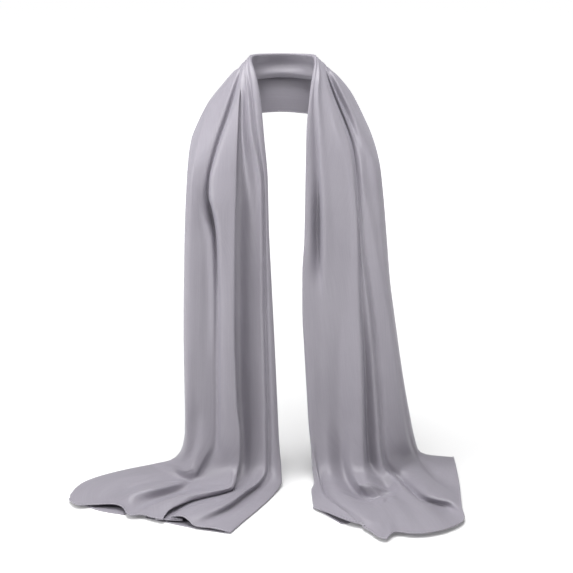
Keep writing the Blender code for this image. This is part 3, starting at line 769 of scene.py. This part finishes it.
def sheet_mesh(name, grid):
    """A mesh of one layer over a grid of points, with cloth coordinates as its UV map."""
    rows, columns = grid.shape[:2]
    number = np.arange(rows * columns).reshape(rows, columns)
    a, b = number[:-1, :-1], number[:-1, 1:]
    c, d = number[1:, 1:], number[1:, :-1]
    faces = np.stack([a, b, c, d], axis=-1).reshape(-1, 4)
    mesh = bpy.data.meshes.new(name)
    mesh.from_pydata((grid.reshape(-1, 3) * MM).tolist(), [], faces.tolist())
    mesh.shade_smooth()
    u, v = cloth_lengths(grid)
    uv = np.stack([u, v], axis=-1).reshape(-1, 2)
    layer = mesh.uv_layers.new(name="cloth")
    corner = np.empty(len(mesh.loops), np.int32)
    mesh.loops.foreach_get("vertex_index", corner)
    layer.data.foreach_set("uv", uv[corner].reshape(-1))
    mesh.update()
    return mesh


def cord_sides(travel):
    """Directions square to a cord's own that don't flip from one point to the next."""
    upright = np.abs(travel[:, 2:]) > UPRIGHT
    side = unit(np.cross(travel, np.where(upright, (1.0, 0, 0), (0, 0, 1.0))))
    for n in range(1, len(side)):
        if np.dot(side[n], side[n - 1]) < 0:
            side[n] = -side[n]
    return side


def tube_mesh(name, paths, radius, around):
    """Round cords joined in one mesh, one along each path of points."""
    turns = [2 * math.pi * k / around for k in range(around)]
    verts, faces = [], []
    for path in paths:
        travel = unit(np.gradient(path, axis=0))
        side = cord_sides(travel)
        up = unit(np.cross(side, travel))
        start = len(verts)
        for n in range(len(path)):
            for turn in turns:
                ring = math.cos(turn) * side[n] + math.sin(turn) * up[n]
                verts.append(path[n] + radius * ring)
        end = len(verts) - around
        for a in range(start, end, around):
            for k in range(around):
                k2 = (k + 1) % around
                faces.append((a + k, a + k2, a + around + k2, a + around + k))
        faces.append(tuple(start + k for k in range(around)))
        faces.append(tuple(end + k for k in reversed(range(around))))
    mesh = bpy.data.meshes.new(name)
    verts = np.array(verts)
    verts[:, 2] = np.maximum(verts[:, 2], THREAD_REST_Z)
    mesh.from_pydata((verts * MM).tolist(), [], faces)
    mesh.shade_smooth()
    mesh.update()
    return mesh


def add_piece(name, mesh, material):
    """A new object in the scene, with its mesh and material."""
    piece = bpy.data.objects.new(name, mesh)
    piece.data.materials.append(material)
    bpy.context.scene.collection.objects.link(piece)
    return piece


class Nodes:
    """Small helper that adds and joins shader nodes."""

    def __init__(self, material):
        self.tree = material.node_tree

    def add(self, kind, place, **values):
        """A new node at a place, with its own settings and the values of its inputs."""
        node = self.tree.nodes.new(kind)
        node.location = place
        for key, value in values.items():
            if hasattr(node, key):
                setattr(node, key, value)
            else:
                node.inputs[key.replace("_", " ")].default_value = value
        return node

    def join(self, start, end):
        """Joins an output to an input."""
        self.tree.links.new(start, end)


def new_material(name):
    """A material with its node helper and its shader."""
    material = bpy.data.materials.new(name)
    material.use_nodes = True
    return material, Nodes(material), material.node_tree.nodes["Principled BSDF"]


def satin_colour(n, cloth, colours):
    """The satin's colour, with faint slubs across the stole and soft patches."""
    slubs = n.add("ShaderNodeMapping", (-1000, 200), Scale=(520, 14, 1))
    n.join(cloth, slubs.inputs["Vector"])
    grain = n.add("ShaderNodeTexNoise", (-800, 200), Scale=1.0, Detail=3.0)
    n.join(slubs.outputs["Vector"], grain.inputs["Vector"])
    patches = n.add("ShaderNodeTexNoise", (-800, 420), Scale=9.0, Detail=4.0)
    n.join(cloth, patches.inputs["Vector"])
    mixed = n.add("ShaderNodeMix", (-600, 300), data_type="FLOAT", Factor=0.5)
    n.join(patches.outputs["Fac"], mixed.inputs["A"])
    n.join(grain.outputs["Fac"], mixed.inputs["B"])
    ramp = n.add("ShaderNodeValToRGB", (-400, 300))
    dark, light = ramp.color_ramp.elements
    dark.position = 0.32
    dark.color = (*colours.shade, 1)
    light.position = 0.68
    light.color = (*colours.satin, 1)
    n.join(mixed.outputs["Result"], ramp.inputs["Fac"])
    return ramp.outputs["Color"]


def satin_bump(n, cloth):
    """The satin's fine slanting twill over soft small crumples."""
    twill = n.add("ShaderNodeMapping", (-1000, -200), Rotation=(0, 0, math.radians(63)))
    n.join(cloth, twill.inputs["Vector"])
    threads = n.add(
        "ShaderNodeTexWave", (-800, -200), wave_type="BANDS",
        Scale=380.0, Distortion=0.6, Detail=1.0,
    )
    n.join(twill.outputs["Vector"], threads.inputs["Vector"])
    crumples = n.add("ShaderNodeTexNoise", (-800, -480), Scale=90.0, Detail=3.0)
    n.join(cloth, crumples.inputs["Vector"])
    fine = n.add("ShaderNodeBump", (-400, -200), Strength=0.25, Distance=0.0001)
    n.join(threads.outputs["Fac"], fine.inputs["Height"])
    soft = n.add("ShaderNodeBump", (-200, -300), Strength=0.35, Distance=0.0008)
    n.join(crumples.outputs["Fac"], soft.inputs["Height"])
    n.join(fine.outputs["Normal"], soft.inputs["Normal"])
    return soft.outputs["Normal"]


def satin_material(colours):
    """Soft lilac-grey satin: fine twill bump, faint slubs and a soft sheen."""
    material, n, shader = new_material("lilac_satin")
    shader.inputs["Roughness"].default_value = 0.42
    shader.inputs["Specular IOR Level"].default_value = 0.5
    shader.inputs["Sheen Weight"].default_value = 0.25
    shader.inputs["Sheen Roughness"].default_value = 0.45
    shader.inputs["Sheen Tint"].default_value = (0.86, 0.84, 0.95, 1)
    cloth = n.add("ShaderNodeUVMap", (-1200, 0), uv_map="cloth").outputs["UV"]
    n.join(satin_colour(n, cloth, colours), shader.inputs["Base Color"])
    n.join(satin_bump(n, cloth), shader.inputs["Normal"])
    return material


def thread_material(colours):
    """Twisted sewing thread, a little lighter than the satin."""
    material, n, shader = new_material("lilac_thread")
    shader.inputs["Roughness"].default_value = 0.6
    shader.inputs["Sheen Weight"].default_value = 0.2
    where = n.add("ShaderNodeTexCoord", (-900, 0))
    twist = n.add("ShaderNodeTexNoise", (-700, 0), Scale=700.0)
    n.join(where.outputs["Object"], twist.inputs["Vector"])
    ramp = n.add("ShaderNodeValToRGB", (-450, 0))
    dark, light = ramp.color_ramp.elements
    dark.color = (*[0.8 * c for c in colours.thread], 1)
    light.color = (*colours.thread, 1)
    n.join(twist.outputs["Fac"], ramp.inputs["Fac"])
    n.join(ramp.outputs["Color"], shader.inputs["Base Color"])
    bump = n.add("ShaderNodeBump", (-250, -200), Strength=0.3, Distance=0.0001)
    n.join(twist.outputs["Fac"], bump.inputs["Height"])
    n.join(bump.outputs["Normal"], shader.inputs["Normal"])
    return material


def floor_material(colours):
    """Pale studio floor that glows more with the distance from the stole."""
    material, n, shader = new_material("pale_floor")
    shader.inputs["Base Color"].default_value = (*colours.floor, 1)
    shader.inputs["Roughness"].default_value = 0.9
    shader.inputs["Specular IOR Level"].default_value = 0.1
    shader.inputs["Emission Color"].default_value = (1, 1, 1, 1)
    where = n.add("ShaderNodeTexCoord", (-900, 0))
    away = n.add("ShaderNodeVectorMath", (-700, 0), operation="LENGTH")
    n.join(where.outputs["Object"], away.inputs[0])
    glow = n.add(
        "ShaderNodeMapRange", (-500, 0),
        From_Min=GLOW_FROM, From_Max=GLOW_TO, To_Min=0.0, To_Max=GLOW,
    )
    n.join(away.outputs["Value"], glow.inputs["Value"])
    n.join(glow.outputs["Result"], shader.inputs["Emission Strength"])
    return material


def grid_of(piece):
    """The points of the sheet in millimetres, as rows and columns."""
    flat = np.empty(3 * len(piece.data.vertices))
    piece.data.vertices.foreach_get("co", flat)
    columns = 1 + sum(row[3] for row in BAND_FOLDS)
    return flat.reshape(-1, columns, 3) / MM


def edge_paths(grid):
    """The four edges of the stole: left hem, right hem, neck edge and body edge."""
    return [grid[0], grid[-1], grid[:, 0], grid[:, -1]]


def stitch_paths(grid, hem_radius, pitch):
    """Short threads that wind once round the rolled hems, slanting a little."""
    insides = [grid[2], grid[-3], grid[:, 2], grid[:, -3]]
    turns = np.radians(np.linspace(*STITCH_TURN, STITCH_POINTS))
    slant = np.linspace(-STITCH_SLANT, STITCH_SLANT, STITCH_POINTS)
    made = []
    for edge, inside in zip(edge_paths(grid), insides):
        along = run_along(edge)
        travel = unit(np.gradient(edge, axis=0))
        inward = unit(inside - edge)
        for spot in np.arange(pitch, along[-1] - pitch / 2, pitch):
            n = int(np.searchsorted(along, spot))
            share = (spot - along[n - 1]) / (along[n] - along[n - 1])
            place = edge[n - 1] + share * (edge[n] - edge[n - 1])
            ahead = travel[n]
            side = unit(inward[n] - np.dot(inward[n], ahead) * ahead)
            up = np.cross(ahead, side)
            ring = np.cos(turns)[:, None] * side + np.sin(turns)[:, None] * up
            made.append(place + (hem_radius + STITCH_LIFT) * ring + slant[:, None] * ahead)
    return made


def add_world(scene):
    """Adds the even light from all round."""
    world = bpy.data.worlds.new("studio")
    world.use_nodes = True
    background = world.node_tree.nodes["Background"]
    background.inputs["Color"].default_value = (1, 1, 1, 1)
    background.inputs["Strength"].default_value = WORLD_LIGHT
    scene.world = world


def add_lights(scene):
    """Adds the studio lights, all turned to the middle of the stole."""
    for name, place, size, power in LIGHTS:
        light = bpy.data.lights.new(name, "AREA")
        light.size = size
        light.energy = power
        lamp = bpy.data.objects.new(name, light)
        scene.collection.objects.link(lamp)
        lamp.visible_camera = False
        lamp.location = place
        aim = Vector(LIGHT_AIM) - lamp.location
        lamp.rotation_euler = aim.to_track_quat("-Z", "Y").to_euler()


def add_camera(scene):
    """Adds the camera where the viewer stands."""
    view = bpy.data.cameras.new("camera")
    view.sensor_width = FILM_WIDTH
    view.lens = VIEW_REACH / VIEW_SIDE * FILM_WIDTH
    camera = bpy.data.objects.new("camera", view)
    scene.collection.objects.link(camera)
    camera.location = Vector(VIEWER) * MM
    camera.rotation_euler = (math.pi / 2 - TIP, 0, 0)
    scene.camera = camera


class StoleSizes(bpy.types.PropertyGroup):
    hem_radius: bpy.props.FloatProperty(
        name="Hem radius", description="Half the thickness of the rolled hem",
        default=0.0012, min=0.0004, max=0.003, precision=4, unit="LENGTH",
    )
    stitch_pitch: bpy.props.FloatProperty(
        name="Stitch pitch", description="Distance from one hem stitch to the next",
        default=0.006, min=0.002, max=0.02, precision=4, unit="LENGTH",
    )
    thread_radius: bpy.props.FloatProperty(
        name="Thread radius", description="Half the thickness of the sewing thread",
        default=0.00022, min=0.0001, max=0.001, precision=5, unit="LENGTH",
    )


class StoleColours(bpy.types.PropertyGroup):
    satin: bpy.props.FloatVectorProperty(
        name="Satin", description="Colour of the satin", subtype="COLOR", size=3,
        default=(0.318, 0.301, 0.341), min=0, max=1,
    )
    shade: bpy.props.FloatVectorProperty(
        name="Satin shade", description="Darker colour that the satin varies to",
        subtype="COLOR", size=3, default=(0.274, 0.258, 0.296), min=0, max=1,
    )
    thread: bpy.props.FloatVectorProperty(
        name="Thread", description="Colour of the hem stitches", subtype="COLOR", size=3,
        default=(0.5, 0.48, 0.55), min=0, max=1,
    )
    floor: bpy.props.FloatVectorProperty(
        name="Floor", description="Colour of the studio floor", subtype="COLOR", size=3,
        default=(0.85, 0.85, 0.85), min=0, max=1,
    )


class STOLE_OT_satin_sheet(bpy.types.Operator):
    """Lay out the satin with its folds, from hem to hem"""

    bl_idname = "stole.satin_sheet"
    bl_label = "Satin sheet"

    def execute(self, context):
        mesh = sheet_mesh("satin_sheet", cloth_grid())
        piece = add_piece("satin_sheet", mesh, satin_material(context.scene.stole_colours))
        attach(piece, "root")
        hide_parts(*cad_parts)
        return {"FINISHED"}


class STOLE_OT_rolled_hems(bpy.types.Operator):
    """Roll the narrow hems along all four edges"""

    bl_idname = "stole.rolled_hems"
    bl_label = "Rolled hems"

    def execute(self, context):
        paths = edge_paths(grid_of(bpy.data.objects["satin_sheet"]))
        radius = context.scene.stole_sizes.hem_radius / MM
        mesh = tube_mesh("rolled_hems", paths, radius, HEM_SIDES)
        hems = add_piece("rolled_hems", mesh, bpy.data.materials["lilac_satin"])
        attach(hems, "root")
        return {"FINISHED"}


class STOLE_OT_hem_stitches(bpy.types.Operator):
    """Sew the rolled hems down with small slanting stitches"""

    bl_idname = "stole.hem_stitches"
    bl_label = "Hem stitches"

    def execute(self, context):
        sizes = context.scene.stole_sizes
        sheet = bpy.data.objects["satin_sheet"]
        paths = stitch_paths(grid_of(sheet), sizes.hem_radius / MM, sizes.stitch_pitch / MM)
        mesh = tube_mesh("hem_stitches", paths, sizes.thread_radius / MM, THREAD_SIDES)
        stitches = add_piece("hem_stitches", mesh, thread_material(context.scene.stole_colours))
        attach(stitches, "root")
        return {"FINISHED"}


class STOLE_OT_stage(bpy.types.Operator):
    """Set the pale floor, the soft lights and the camera"""

    bl_idname = "stole.stage"
    bl_label = "Stage"

    def execute(self, context):
        scene = context.scene
        mesh = bpy.data.meshes.new("floor")
        turns = ((-1, -1), (1, -1), (1, 1), (-1, 1))
        corners = [(x * FLOOR_HALF, y * FLOOR_HALF, FLOOR_Z * MM) for x, y in turns]
        mesh.from_pydata(corners, [], [(0, 1, 2, 3)])
        floor = add_piece("floor", mesh, floor_material(scene.stole_colours))
        add_world(scene)
        add_lights(scene)
        add_camera(scene)
        scene.view_settings.view_transform = "Standard"
        return {"FINISHED"}


class STOLE_PT_panel(bpy.types.Panel):
    """Sizes, colours and steps of the evening stole"""

    bl_idname = "STOLE_PT_panel"
    bl_label = "Evening stole"
    bl_space_type = "VIEW_3D"
    bl_region_type = "UI"
    bl_category = "Stole"

    def draw(self, context):
        scene = context.scene
        for group in (scene.stole_sizes, scene.stole_colours):
            for name in group.bl_rna.properties.keys():
                if name not in ("rna_type", "name"):
                    self.layout.prop(group, name)
        for step in STEPS:
            self.layout.operator(step.bl_idname)


STEPS = (STOLE_OT_stage, STOLE_OT_satin_sheet, STOLE_OT_rolled_hems, STOLE_OT_hem_stitches)
CLASSES = (StoleSizes, StoleColours, *STEPS, STOLE_PT_panel)


def register():
    for kind in CLASSES:
        bpy.utils.register_class(kind)
    bpy.types.Scene.stole_sizes = bpy.props.PointerProperty(type=StoleSizes)
    bpy.types.Scene.stole_colours = bpy.props.PointerProperty(type=StoleColours)


def unregister():
    del bpy.types.Scene.stole_colours
    del bpy.types.Scene.stole_sizes
    for kind in reversed(CLASSES):
        bpy.utils.unregister_class(kind)


def main():
    register()
    bpy.ops.stole.stage()
    bpy.ops.stole.satin_sheet()
    bpy.ops.stole.rolled_hems()
    bpy.ops.stole.hem_stitches()


if __name__ == "__main__":
    main()
